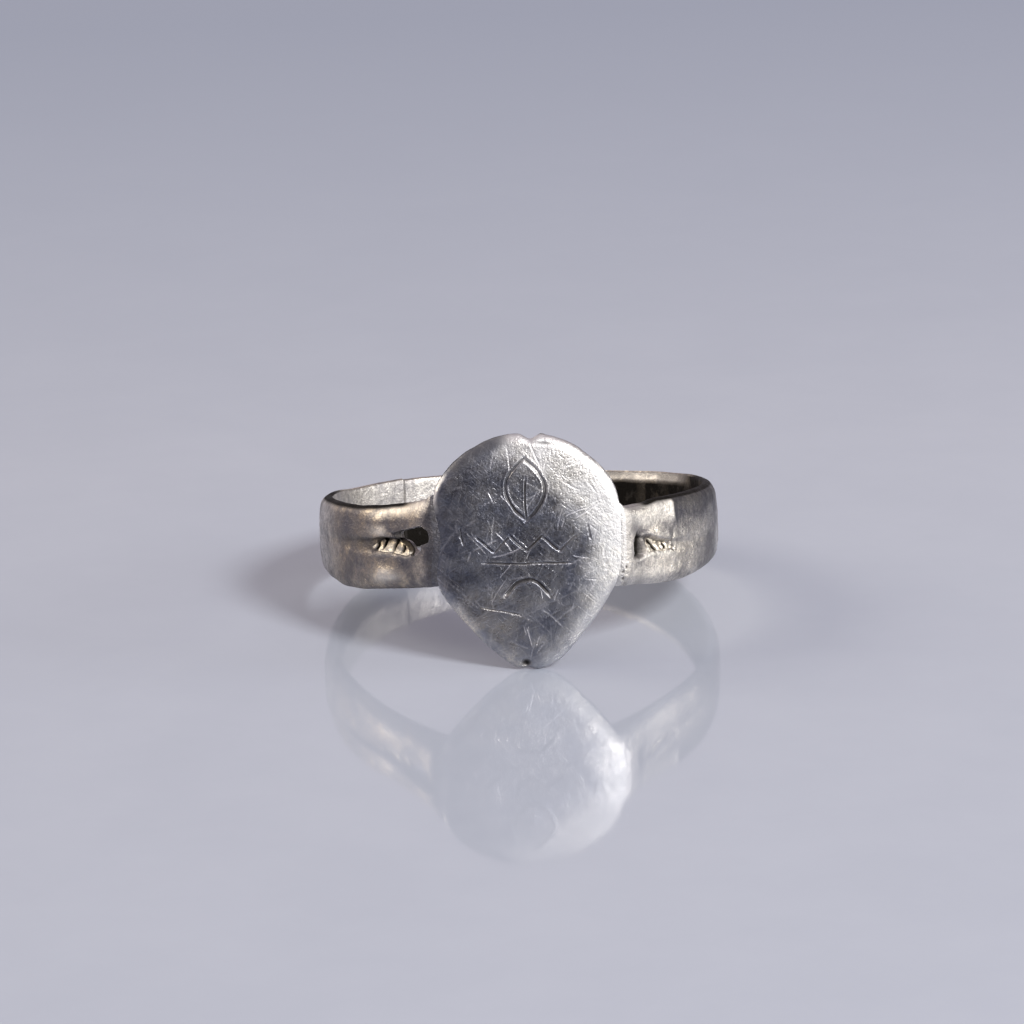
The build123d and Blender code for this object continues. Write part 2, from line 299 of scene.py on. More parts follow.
STROKES = [
    (arc_points((0.1, 4.35), (-0.95, 2.85), (0.05, 1.25)), 0.085, 0.085),
    (arc_points((0.0, 4.3), (1.0, 2.75), (-0.02, 1.2)), 0.1, 0.1),
    (arc_points((0.06, 3.3), (0.0, 2.3), (0.04, 1.3)), 0.06, 0.06),
    ([(-2.45, 0.5), (-1.62, -0.28)], 0.075, 0.08),
    ([(-1.6, -0.3), (-0.82, 0.46)], 0.07, 0.07),
    ([(-0.8, 0.5), (0.02, -0.27)], 0.085, 0.09),
    ([(0.0, -0.24), (0.84, 0.5)], 0.075, 0.08),
    ([(0.8, 0.44), (1.6, -0.3)], 0.08, 0.085),
    ([(1.62, -0.32), (2.42, 0.42)], 0.065, 0.06),
    ([(-2.2, -0.8), (-0.6, -0.88), (2.25, -0.92)], 0.06, 0.065),
    (arc_points((-1.15, -2.5), (0.02, -1.68), (1.1, -2.55)), 0.1, 0.1),
    ([(-3.25, 1.0), (-3.1, 0.15)], 0.075, 0.075),
    ([(3.05, 0.95), (3.2, 0.2)], 0.06, 0.05),
    ([(-2.3, -3.0), (-0.35, -3.45)], 0.05, 0.05),
]


def engraving(x, z):
    """Depth of the strokes and the height of the burrs beside them, and a mask of the grooves."""
    depth = np.zeros(x.shape)
    mask = np.zeros(x.shape)
    wobble_x = x + 0.03 * noise(x, z, 0, 0.5, 11)
    wobble_z = z + 0.03 * noise(x, z, 0, 0.5, 12)
    for number, (points, half, deep) in enumerate(STROKES):
        d, share = polyline_distance(wobble_x, wobble_z, points)
        half = half * (0.95 + 0.2 * noise(x, z, number, 0.4, 141 + number))
        ends = 0.35 + 0.65 * (smooth(share / 0.06) * smooth((1 - share) / 0.1))
        deep = deep * (1 + 0.25 * noise(x, z, number, 0.6, 40 + number))
        groove = np.clip(1 - (d / half) ** 2, 0, 1) ** 1.3
        burr = bell((d - half * 1.4) / (half * 0.5))
        depth += ends * deep * (groove - 0.16 * burr)
        dirty = 0.75 + 0.45 * noise(x, z, number, 0.9, 171 + number)
        mask = np.maximum(mask, ends * dirty * np.clip(1.5 - 1.2 * d / half, 0, 1))
    return depth, np.clip(mask, 0, 1)


random = np.random.default_rng(7)
SCRATCHES = []
for _ in range(120):
    cx, cz = random.uniform(-4.3, 4.3), random.uniform(-5.6, 5.0)
    angle = random.choice([random.normal(1.35, 0.35), random.normal(0.5, 0.5), random.uniform(0, math.pi)])
    half_length = random.uniform(0.2, 0.95)
    bend = random.uniform(-0.12, 0.12)
    dx, dz = math.cos(angle) * half_length, math.sin(angle) * half_length
    line = arc_points((cx - dx, cz - dz), (cx - dz * bend, cz + dx * bend), (cx + dx, cz + dz), 4)
    SCRATCHES.append((line, random.uniform(0.022, 0.036), random.uniform(0.003, 0.014)))


def scratches(x, z):
    depth = np.zeros(x.shape)
    bright = np.zeros(x.shape)
    for points, half, deep in SCRATCHES:
        lo, hi = points.min(0) - 0.1, points.max(0) + 0.1
        near = (x > lo[0]) & (x < hi[0]) & (z > lo[1]) & (z < hi[1])
        if not near.any():
            continue
        d, share = polyline_distance(x[near], z[near], points)
        taper = smooth(share / 0.2) * smooth((1 - share) / 0.2)
        depth[near] += taper * deep * (bell(d / half) - 0.4 * bell((d - 1.8 * half) / half))
        bright[near] = np.maximum(bright[near], taper * bell(d / half) * deep / 0.02)
    return depth, np.clip(bright, 0, 1)


# x of the line between the plate's dark middle, oxide with painted shade, and its bright right side, rubbed
# wear with a painted highlight, by height
BRIGHT_FROM = [
    (-6.3, 0.6), (-5.0, 1.4), (-4.0, 2.0), (-3.0, 2.5), (-2.0, 2.9), (-1.0, 3.3), (0.0, 3.3), (1.0, 2.9),
    (2.0, 2.1), (3.0, 0.9), (4.0, -0.7), (5.0, -1.8), (5.6, -2.4),
]


def lower_left(x, z):
    """1 on the plate's lower left, which is lighter and warmer than the rest of its left side."""
    return smooth((-1.0 - z) / 3.0) * smooth((1.5 - x) / 3.0)


def plate_tone(x, z, s):
    """Masks of the plate's oxidised and rubbed areas, with painted shade on its dark middle and a painted
    highlight on its bright right side, and of the painted shade on the dark upper left rim.
    """
    line = table(z, BRIGHT_FROM)
    # the dark middle is oxide and painted shade for the dark surroundings it reflects; the bright right
    # side is rubbed wear and a painted highlight
    dark = smooth((line - x + 0.55 * noise(x, z, 0, 1.1, 151, 3)) / 1.7 + 0.5)
    top_patch = bell((x + 0.9) / 1.3) * bell((z - 4.0) / 0.9)
    # painted shade on the dark upper left rim
    dark_rim_shade = smooth((0.8 - s) / 0.5) * smooth((-0.4 - x) / 1.0) * smooth((z - 3.3) / 0.7)
    lower = smooth((-1.2 - z) / 1.6)
    level = 0.92 - 0.32 * lower_left(x, z) - 0.16 * lower - 0.5 * top_patch
    level = level + 0.34 * noise(x, z, 0, 0.8, 152, 3)
    oxide_and_shade = dark * level + 0.8 * dark_rim_shade
    # the worn edge is rubbed bright, and more so towards the lower right as a painted highlight
    edge = smooth(1 - np.abs(s - 0.3) / 0.6) * (1 - band_zone(x, z))
    edge = edge * (0.25 + 0.5 * smooth((x + z + 4.0) / 4.0)) * (1 - 0.7 * dark)
    rubbed_and_highlight = np.maximum(0.9 * (1 - dark), edge)
    # painted highlight: a bright line painted along the upper left rim
    rim_highlight = smooth((0.26 - s) / 0.18) * smooth((-3.0 - x) / 0.6)  # a bright line along the left rim
    rim_highlight = rim_highlight * smooth((z - 1.5) / 0.6) * smooth((4.0 - z) / 0.7)
    rubbed_and_highlight = np.maximum(rubbed_and_highlight, rim_highlight)
    oxide_and_shade = oxide_and_shade * (1 - 0.9 * rim_highlight)
    return np.clip(oxide_and_shade, 0, 1), np.clip(rubbed_and_highlight, 0, 1), dark_rim_shade


def make_plate(material):
    count = len(EDGE)
    centre = np.array([0.05, -0.1])
    rim_steps = 0.95 * (1 - np.cos(np.linspace(0, math.pi / 2, 22))) ** 1.25
    inner = EDGE + EDGE_IN * rim_steps[-1]
    middle = centre + (inner - centre) * np.linspace(0.012, 1, 78)[:-1, None, None]
    border = EDGE + EDGE_IN * rim_steps[::-1, None, None]
    x, z = np.moveaxis(np.concatenate([middle, border]), -1, 0)
    s, _ = polyline_distance(x, z, EDGE[::4], closed=True)
    s[len(middle) :] = rim_steps[::-1, None]

    # dent in the top edge and chip at the tip pull the edge inwards
    notch = bell((x - 0.35) / 0.36) * (z > 3) * smooth(1 - s / 1.0)
    flap = bell((x - 0.95) / 0.17) * (z > 3) * smooth(1 - s / 0.5)
    z = z - 0.27 * notch + 0.05 * flap
    chip = bell((x + 0.1) / 0.3) * (z < -4.5) * smooth(1 - s / 0.6)
    z = z + 0.13 * chip
    wave = smooth(1 - s / 0.9) * (1 - band_zone(x, z))
    x = x + 0.03 * wave * noise(x, z, 0, 0.9, 21, 2)
    z = z + 0.03 * wave * noise(x, z, 5, 0.9, 22, 2)

    cut, cut_mask = engraving(x, z)
    worn, bright = scratches(x, z)
    drop = face_drop(x, z, s) + cut + worn
    inside = smooth(s / 0.5)
    drop = drop + inside * (0.02 * noise(x, z, 0, 2.2, 31, 2) + 0.003 * noise(x, z, 0, 0.5, 33, 2))
    pit = bell(np.hypot(x + 0.18, (z + 5.87) * 1.3) / 0.2)
    drop = drop + 0.3 * pit + 0.05 * flap
    fold = bell((z - 5.02 + 0.12 * (x - 1)) / 0.06) * bell((x - 1.0) / 0.45)
    drop = drop + 0.05 * fold - 0.02 * notch
    y = -(PLATE_FACE - drop)

    # side wall and back
    face_x, face_z = x, z
    rim_x, rim_y, rim_z = x[-1], y[-1], z[-1]
    bevel = 0.1
    rest = [(rim_x, rim_y + (-PLATE_BACK - bevel - rim_y) * t, rim_z) for t in (0.35, 0.7)]
    for a in np.linspace(0, math.pi / 2, 5):
        pull = bevel * (1 - math.cos(a))
        back = np.full(count, -PLATE_BACK - bevel + bevel * math.sin(a))
        rest.append((rim_x + EDGE_IN[:, 0] * pull, back, rim_z + EDGE_IN[:, 1] * pull))
    bx, _, bz = rest[-1]
    for share in np.linspace(1, 0.012, 40)[1:]:
        rx, rz = centre[0] + (bx - centre[0]) * share, centre[1] + (bz - centre[1]) * share
        rest.append((rx, -PLATE_BACK + 0.012 * noise(rx, rz, 0, 1.3, 35, 3) - 0.01, rz))
    x, y, z = (np.vstack([face, back]) for face, back in zip((x, y, z), np.moveaxis(rest, 1, 0)))
    oxide_and_shade, rubbed_and_highlight, dark_rim_shade = plate_tone(face_x, face_z, s)
    # grime in the strokes, the pit and the fold, and painted shade on the dark upper left rim
    grime_and_shade = np.maximum(0.9 * cut_mask, 0.9 * np.clip(pit * 1.3, 0, 1)) + 0.7 * fold + 0.55 * dark_rim_shade
    warm = 0.1 + 0.7 * lower_left(face_x, face_z) + 0.3 * (1 - oxide_and_shade)
    masks = {  # on the face, and on the wall and the back
        "grime_and_shade": (np.clip(grime_and_shade, 0, 1), 0.25), "rubbed_and_highlight": (rubbed_and_highlight, 0.0), "scratch": (bright, 0.0),
        "warm": (warm, 0.5), "oxide_and_shade": (oxide_and_shade, 0.4),
    }
    masks = {k: np.vstack([face, np.full((len(rest), count), back)]) for k, (face, back) in masks.items()}
    build("signet_plate_worn", to_row(x, y, z), masks, material, "signet_plate")


# ---- band arms
CORNER = math.atan2(HEAD_HALF, HEAD_FRONT)
TANGENT = CORNER + math.acos(BAND_R / math.hypot(HEAD_HALF, HEAD_FRONT))
FACET = math.sqrt(HEAD_HALF**2 + HEAD_FRONT**2 - BAND_R**2)


WORN_STEPS = 171  # hundredths of a mm over which the profile's corners are worn round


def make_profile():
    """Outer profile of the band and its outward direction, by the distance from the head's corner."""
    s = np.arange(-5.0, 36.0, 0.01)
    on_head = s < 0
    straight = s < FACET
    x = np.where(on_head, HEAD_HALF + s, HEAD_HALF - s * math.cos(TANGENT + math.pi))
    y = np.where(on_head, -HEAD_FRONT, -HEAD_FRONT + s * math.sin(TANGENT))
    angle = TANGENT + (s - FACET) / BAND_R
    x = np.where(straight, x, BAND_R * np.sin(angle))
    y = np.where(straight, y, -BAND_R * np.cos(angle))
    window = np.hanning(WORN_STEPS)
    window /= window.sum()
    pad = len(window) // 2
    padded = (np.pad(line, pad, mode="reflect", reflect_type="odd") for line in (x, y))
    x, y = (np.convolve(line, window, "valid") for line in padded)
    slope_x, slope_y = np.gradient(x), np.gradient(y)
    slope = np.hypot(slope_x, slope_y)
    return s, x, y, slope_y / slope, -slope_x / slope


PROFILE_S, *PROFILE = make_profile()


def profile(s):
    """Place and outward direction of the band's profile."""
    return tuple(np.interp(s, PROFILE_S, values) for values in PROFILE)


def edge_x(side, z):
    """Half-width of the plate at height z on one side, as a positive number."""
    mine = EDGE[(EDGE[:, 0] * side > 3.0) & (np.abs(EDGE[:, 1]) < 4.2)]
    mine = mine[np.argsort(mine[:, 1])]
    return np.interp(z, mine[:, 1], np.abs(mine[:, 0]))


# Half-heights of the band's top and bottom edges, by distance along the shoulder from the head's corner
TOP_EDGE = {
    LEFT: [
        (-1.0, 2.74), (-0.5, 2.56), (1.2, 2.23), (2.5, 2.06), (3.9, 1.9), (5.3, 1.79), (8.0, 1.82),
        (14.0, 1.9),
    ],
    RIGHT: [
        (-0.8, 2.0), (-0.2, 1.88), (0.4, 1.64), (2.1, 1.65), (2.7, 1.8), (4.1, 1.85), (7.0, 1.93),
        (14.0, 1.9),
    ],
}
LOW_EDGE = {
    LEFT: [
        (-1.0, 1.9), (-0.5, 1.93), (1.5, 2.11), (3.5, 2.25), (5.3, 2.38), (7.3, 2.38), (9.0, 2.25),
        (14.0, 1.9),
    ],
    RIGHT: [
        (-0.8, 2.2), (-0.3, 2.22), (1.0, 2.34), (2.4, 2.43), (3.9, 2.46), (5.1, 2.42), (7.5, 2.2),
        (14.0, 1.9),
    ],
}


def half_width(side, s, top):
    """Distance from the finger hole's middle plane to the band's top or bottom edge."""
    width = table(s, (TOP_EDGE if top else LOW_EDGE)[side], 0.35)
    if top:
        width = width - 0.13 * smooth((s - 14.0) / 8.0)
    if side < 0 and top:
        width = width + 0.15 * bell((s - 24.0) / 4.0) - 0.17 * bell((s - 16.5) / 4.0)
    key = 51 + (side > 0) * 2 + top
    return width + 0.03 * noise(s, 0, 0, 1.9, key, 2) * smooth(s / 1.0)


# The worn groove and pocket, by distance past WORN_START: height of the groove's line, depth below the
# band's surface, and height of the pocket's lower lip
WORN_START = {LEFT: 0.36, RIGHT: 0.22}  # where the tables start, from the head's corner
GROOVE = {
    LEFT: [(-1.0, 0.0), (0.8, 0.05), (1.6, 0.34), (2.7, 0.31), (4.0, 0.14), (6.5, 0.0)],
    RIGHT: [(-1, -0.05), (1.7, -0.06), (2.5, -0.32), (3.3, -0.47), (5.1, -0.58), (7.0, -0.45), (12.0, 0.0)],
}
DEPTH = {
    LEFT: [
        (0.2, 0.0), (0.9, 0.34), (2.4, 0.3), (3.2, 0.25), (3.9, 0.19), (5.0, 0.13), (6.5, 0.06),
        (9.0, 0.02), (14.0, 0.0),
    ],
    RIGHT: [
        (0.6, 0.0), (1.2, 0.2), (2.0, 0.24), (3.0, 0.17), (3.9, 0.07), (5.0, 0.04), (9.0, 0.015),
        (14.0, 0.0),
    ],
}
LIP = {
    LEFT: [(0.4, -0.3), (1.17, -0.58), (2.15, -0.47), (3.0, -0.48), (3.8, -0.62), (5.0, -0.5), (7.0, -0.4)],
    RIGHT: [
        (0.6, -0.98), (0.9, -1.07), (1.9, -0.82), (2.6, -0.9), (3.6, -0.97), (4.2, -0.95), (5.0, -0.9),
        (7.0, -0.8),
    ],
}
SLITS = {  # cuts between the worn leaves, from the top down
    LEFT: [
        [(2.24, 0.66), (2.02, 0.54), (1.92, 0.37), (1.91, 0.16), (2.0, -0.1), (2.08, -0.36)],
        [(2.92, 0.38), (2.69, 0.25), (2.73, 0.0), (2.87, -0.24)],
        [(3.25, 0.18), (3.19, -0.06), (3.33, -0.28), (3.52, -0.38)],
        [(1.45, 0.05), (1.38, -0.15), (1.5, -0.36)],
    ],
    RIGHT: [
        [(3.5, -0.12), (3.4, -0.32), (3.32, -0.5)],
        [(2.82, -0.42), (2.9, -0.62), (2.8, -0.74)],
        [(3.52, -0.58), (3.6, -0.8)],
        [(1.66, -0.12), (1.94, -0.45), (2.25, -0.86)],
    ],
}
ROOF_LEFT = [(0.9, -0.34), (1.15, -0.04), (1.45, 0.18), (1.85, 0.3), (2.2, 0.38), (2.7, 0.36), (4.2, 0.16)]
LEAVES_FROM, LEAVES_TO = {LEFT: 0.95, RIGHT: 1.55}, {LEFT: 3.8, RIGHT: 4.1}
PITS = [(0.01, -1.3), (-0.22, -1.53), (-0.24, -1.86)]  # by the right solder


def slits(side, s, z):
    """Narrow dark cuts between the worn leaves: 1 at the bottom of each."""
    found = np.zeros(s.shape)
    near = (s > 1.0) & (s < 4.4) & (z > -1.2) & (z < 0.9)
    for points in SLITS[side]:
        d, share = polyline_distance(s[near], z[near], points)
        taper = 0.3 + 0.7 * smooth(share / 0.25) * smooth((1 - share) / 0.3)
        width = 0.068 + 0.030 * noise(s[near], z[near], 0, 0.2, 142, 2)
        found[near] = np.maximum(found[near], taper * bell(d / width))
    return found


def pits(s, z):
    """1 at the bottom of each small pit by the right solder joint."""
    return np.maximum.reduce([bell(np.hypot(s - at, z - high) / 0.07) for at, high in PITS])


def relief(side, s, z):
    """Depth of the shoulder's groove, pocket and worn leaves below the band's outer surface."""
    s, z = np.broadcast_arrays(s, z)
    q = s - WORN_START[side]
    middle = table(q, GROOVE[side]) + 0.02 * noise(s, 0, side, 0.6, 60, 2)
    deep = table(q, DEPTH[side]) * (1 + 0.2 * noise(s, 0, side, 0.5, 61, 2))
    lip = table(q, LIP[side]) + 0.03 * noise(s, 0, side, 0.35, 62, 2)
    reach = 0.13 if side < 0 else 0.24
    above = 1 - smooth((z - middle) / (reach + 0.25 * smooth((s - 3.6) / 2.0)))
    ramp = np.clip((middle - z) / np.maximum(middle - lip, 0.05), 0, 1)
    below = (1 - ramp) ** 0.8 * 0.85 + 0.15 * (1 - smooth(ramp))
    depth = deep * np.where(z > middle, above, below)
    leaves = smooth((4.3 - q) / 0.5) * smooth((q - 0.9) / 0.2)
    lump = noise(s, z, side, 0.32, 63, 2) * leaves * np.clip(deep / 0.2, 0, 1)
    depth = depth - 0.065 * lump * np.where(z > middle, above, 1 - smooth((ramp - 0.8) / 0.2))
    depth = depth + 0.13 * slits(side, q, z)
    if side > 0:
        edge = 0.6 + 0.22 * smooth((z + 0.1) / 0.45) + 0.03 * noise(z, 0, 0, 0.2, 64)
        wall = smooth((s - edge) / 0.06)
        top = 0.34 - 0.4 * np.clip((s - 0.8) / 0.9, 0, 1)
        inside = smooth((top + 0.06 - z) / 0.22) * smooth((z - lip) / 0.24)
        pocket = 0.55 * wall * inside * (1 - smooth((s - 0.65) / 1.35))
        ledge = 0.12 * wall * smooth((0.5 - z) / 0.3) * smooth((z - middle) / 0.1)
        depth = np.maximum(depth, pocket) + ledge * (1 - smooth((s - 1.1) / 0.9))
        pad = smooth((s - 1.65) / 0.4) * smooth((3.75 - s) / 0.4) * smooth((z - middle) / 0.2)
        depth = depth - 0.06 * pad * smooth((0.5 - z) / 0.4)
        depth = depth + 0.04 * pits(s, z)
    else:
        roof = 0.72 + 0.2 * smooth((2.2 - s) / 1.8)
        wall = smooth((s - 1.9) / 0.06) * smooth((2.35 - s) / 0.12)
        depth = depth + 0.1 * wall * smooth((roof - z) / 0.1) * smooth((z - 0.2) / 0.2)
    return depth


def leaf_span(side, s):
    """Lowest and highest place of the worn leaves along the shoulder; they narrow to a point."""
    q = s - WORN_START[side]
    roof = table(q, ROOF_LEFT) if side < 0 else table(q, GROOVE[RIGHT]) + 0.05
    floor = table(q, LIP[side]) + 0.06
    middle = (roof + floor) / 2
    narrow = 1 - smooth((q - 2.8) / 1.15)
    return middle + (floor - middle) * narrow, middle + (roof - middle) * narrow


def leaf_patch(side, s, z):
    """Distance inside the patch of the pocket that the worn leaves fill, in mm."""
    floor, roof = leaf_span(side, s)
    q = s - WORN_START[side]
    return np.minimum.reduce([q - LEAVES_FROM[side], LEAVES_TO[side] - q, roof - z, z - floor])


def surface(side, s, v):
    """Outward displacement of the band's outer surface without its groove and pocket, in mm."""
    a = np.abs(v)
    edge = 0.34 * (1 - np.sqrt(np.clip(1 - (np.clip(a - 0.76, 0, 1) / 0.24) ** 2, 0, 1)))
    crown = (0.15 + 0.12 * smooth((s - 5.0) / 5.0)) * a**2.4
    facet = -0.06 * np.sin(np.pi * np.clip(s / 3.7, 0, 1))
    crease = (0.05 * smooth((v - 0.05) / 0.4) if side > 0 else 0.015) * bell((s - 3.9) / 0.22)
    z = v * 2.05
    if side < 0:
        shoulder = smooth((s + 0.4) / 0.8) * smooth((5.2 - s) / 2.0)
        t = np.clip(v - 0.62, 0, 1) * 2.2
        edge = edge * (1 - 0.5 * shoulder * (v > 0)) + 0.42 * shoulder * t**2 / (t + 0.22)
        crown = crown - 0.12 * bell((z + 1.35) / 0.36) * bell((s - 3.0) / 0.95)
    hammered = 0.03 * noise(s, z, side, 1.5, 90, 2) + 0.008 * noise(s, z, side, 0.35, 92, 2)
    return facet * (1 - 0.6 * smooth((s - 5) / 3)) + crease - edge - crown + hammered * smooth(s / 0.6)


ROWS_OUT, ROWS_WALL, ROWS_IN = 100, 5, 26
FINE_STEP, COARSE_STEP, FINE_TO = 0.035, 0.075, 5.2  # steps along the arms, fine on the shoulders
SOLDER_ROWS = 8  # loops of the arm's grid that belong to the solder beside the plate
LAP_MASKS = {"grime_and_shade": 0.25, "oxide_and_shade": 0.4, "warm": 0.5}
LOW_WALL_MASKS = {"grime_and_shade": 0.2, "rubbed_and_highlight": 0.4, "oxide_and_shade": 0.3, "warm": 0.5}
WARM_SHOULDER = {LEFT: 1.0, RIGHT: 0.28}
# height of the painted highlight along the left shoulder's upper lobe, by distance along the shoulder
LOBE_HIGHLIGHT = [(-0.5, 2.2), (0.3, 2.15), (1.2, 1.98), (2.6, 1.75), (3.5, 1.6), (6.0, 1.5)]
SEAM_ENDS, SEAM_GRIME_AND_SHADE = {}, {}


def outer_masks(side, d, s, z, v, depth, rim_shade):
    """Masks of an arm's outer side: grime in the relief, rubbed wear and oxide, with painted highlights and
    painted shade.
    """
    # grime in the relief, and painted shade along the top edge
    grime_and_shade = np.maximum(np.clip(depth / 0.34, 0, 1) ** 1.3, rim_shade * smooth((v - 0.86) / 0.1))
    if side < 0:
        # painted highlights on the left: the upper lobe, the lower lobe and the lumps above the groove are
        # painted bright
        upper = bell((z - table(s, LOBE_HIGHLIGHT)) / 0.32) * smooth((s + 0.6) / 0.8) * smooth((5.0 - s) / 2.0)
        lower = bell((z + 1.5) / 0.38) * bell((s - 3.0) / 1.0)
        blotch = 0.5 + 0.5 * noise(s, z, 3, 0.7, 162, 3)
        lumps = bell((z - 0.68) / 0.3) * bell((s - 3.2) / 1.0)
        rubbed_and_highlight = np.maximum.reduce([upper, lower * (0.5 + blotch), lumps * (0.2 + blotch)])
        oxide_and_shade = 0.74 - 0.74 * rubbed_and_highlight + 0.25 * noise(s, z, 4, 0.9, 163, 3)
        oxide_and_shade = oxide_and_shade * (1 - 0.6 * smooth((s - 5.0) / 5.0)) + 0.2 * (1 - smooth(d / 1.2))
    else:
        # painted highlight on the right facet and next to the plate
        facet = smooth((3.95 - s) / (0.14 + 1.7 * (1 - smooth((v + 0.15) / 0.55))))
        rubbed_and_highlight = facet * np.maximum(smooth((v - 0.2) / 0.4) * (v < 0.95), 0.6 * smooth((-0.55 - v) / 0.2))
        rubbed_and_highlight = np.maximum(rubbed_and_highlight, 0.8 * (1 - smooth(d / 1.4)))
        past = (1 - facet) * (1 - smooth((s - 11.0) / 4.0))
        # painted shade: past the crease the arm is painted darker towards the top edge
        oxide_and_shade = past * (0.22 + 0.85 * smooth((v + 0.15) / 0.85)) + 0.25 * noise(s, z, 5, 0.9, 164, 3)
        oxide_and_shade = oxide_and_shade + 0.4 * facet * bell((v - 0.18) / 0.28) * smooth((d - 0.5) / 0.8)
        oxide_and_shade = np.maximum(oxide_and_shade, 0.45 * bell((s + 0.1) / 0.35) * smooth((-1.1 - z) / 0.3))
        # grime in the relief and the pits, and painted shade on the upper part past the crease
        grime_and_shade = np.maximum.reduce([grime_and_shade, pits(s, z), 0.5 * past * smooth((v - 0.35) / 0.5)])
    q = s - WORN_START[side]
    # painted highlight along the pocket's lower lip
    lip = bell((z - table(q, LIP[side]) + 0.03) / 0.08) * smooth((q - 0.4) / 0.3) * smooth((4.0 - q) / 1.0)
    rubbed_and_highlight = np.maximum(rubbed_and_highlight, lip) * (1 - smooth((s - 9.0) / 6.0))
    warm = WARM_SHOULDER[side] * (1 - smooth((s - 6.0) / 4.0)) * (0.3 + 0.7 * smooth(d / 1.5))
    warm = warm + 0.15 * smooth((s - 12) / 4)
    return {"grime_and_shade": grime_and_shade, "rubbed_and_highlight": np.clip(rubbed_and_highlight, 0, 1), "oxide_and_shade": np.clip(oxide_and_shade, 0, 1), "warm": warm}


def inner_masks(side, s, w, z):
    """Masks of an arm's inner side: painted shade makes it black, with a painted highlight along the upper
    edge on the right, and from the seam on it is clean above and painted shade below."""
    clean = smooth((s - 26.0) / 4.0) if side > 0 else 1 + 0 * s
    ragged = noise(s, z, 0, 1.3, 166, 4)
    # painted shade: the right arm's inside darkens to black towards the seam
    grime_and_shade = (1 - clean) * smooth((s - 1.5 + 2.0 * ragged) / 9.0) ** 0.6 * (1.0 + 0.06 * ragged)
    # painted highlight along the upper inner edge on the right
    inner_edge_highlight = smooth((w - 0.74) / 0.05) * smooth((s - 14.0) / 3.0) * (1 - clean)
    grime_and_shade = grime_and_shade * (1 - 0.97 * inner_edge_highlight * (0.85 + 0.4 * noise(s, w, 0, 1.2, 161, 2)))
    grime_and_shade = grime_and_shade * (0.97 - 0.09 * smooth(0.5 + 0.8 * noise(s, z * 0.5, 0, 0.7, 167, 3)))
    # painted shade on the lower half from the seam on
    grime_and_shade = np.maximum(grime_and_shade, clean * smooth((0.15 - w + 0.22 * ragged) / 0.55) ** 0.8)
    even = 0.75 + 0.5 * noise(s, z, 0, 1.6, 165, 3)
    hairlines = 0.5 * clean * even * (0.35 + 0.65 * smooth((s - 9.0) / 6.0))
    warm = (1 - clean) * (1 - 0.8 * inner_edge_highlight)
    return {"grime_and_shade": grime_and_shade, "rubbed_and_highlight": inner_edge_highlight, "warm": warm, "scratch": hairlines}


def joined(outer, inner, t):
    """A loop through an outer and an inner row, with steps of t between their ends."""
    there = outer[-1] + (inner[0] - outer[-1]) * t
    back = inner[-1] + (outer[0] - inner[-1]) * t
    return np.hstack([outer, there, inner, back])


def lap_loops(side, z, inner_z, phi, t):
    """Loops of the lap behind the plate, from its free end to just before the arm's first loop."""
    end_phi = math.asin(LAP_START / BORE_R)
    edge = edge_x(side, z)
    loops = []
    for share in (1.0, 0.8, 0.6, 0.4, 0.2, 0.02):
        at_phi = end_phi + (phi - end_phi) * (1 - share) * 0.97
        squeeze = 1 - 0.25 * smooth(share / 0.3)
        outer_x = edge - 0.03 + (LAP_START - edge + 0.03) * share
        outer_y = np.full(z.shape, -PLATE_BACK + 0.02)
        inner_x = np.full(ROWS_IN, BORE_R * math.sin(at_phi))
        inner_y = np.full(ROWS_IN, -BORE_R * math.cos(at_phi))
        pairs = (outer_x, inner_x), (outer_y, inner_y), (z * squeeze, inner_z * squeeze)
        loops.append(np.stack([joined(outer, inner, t) for outer, inner in pairs], -1))
    return np.array(loops)


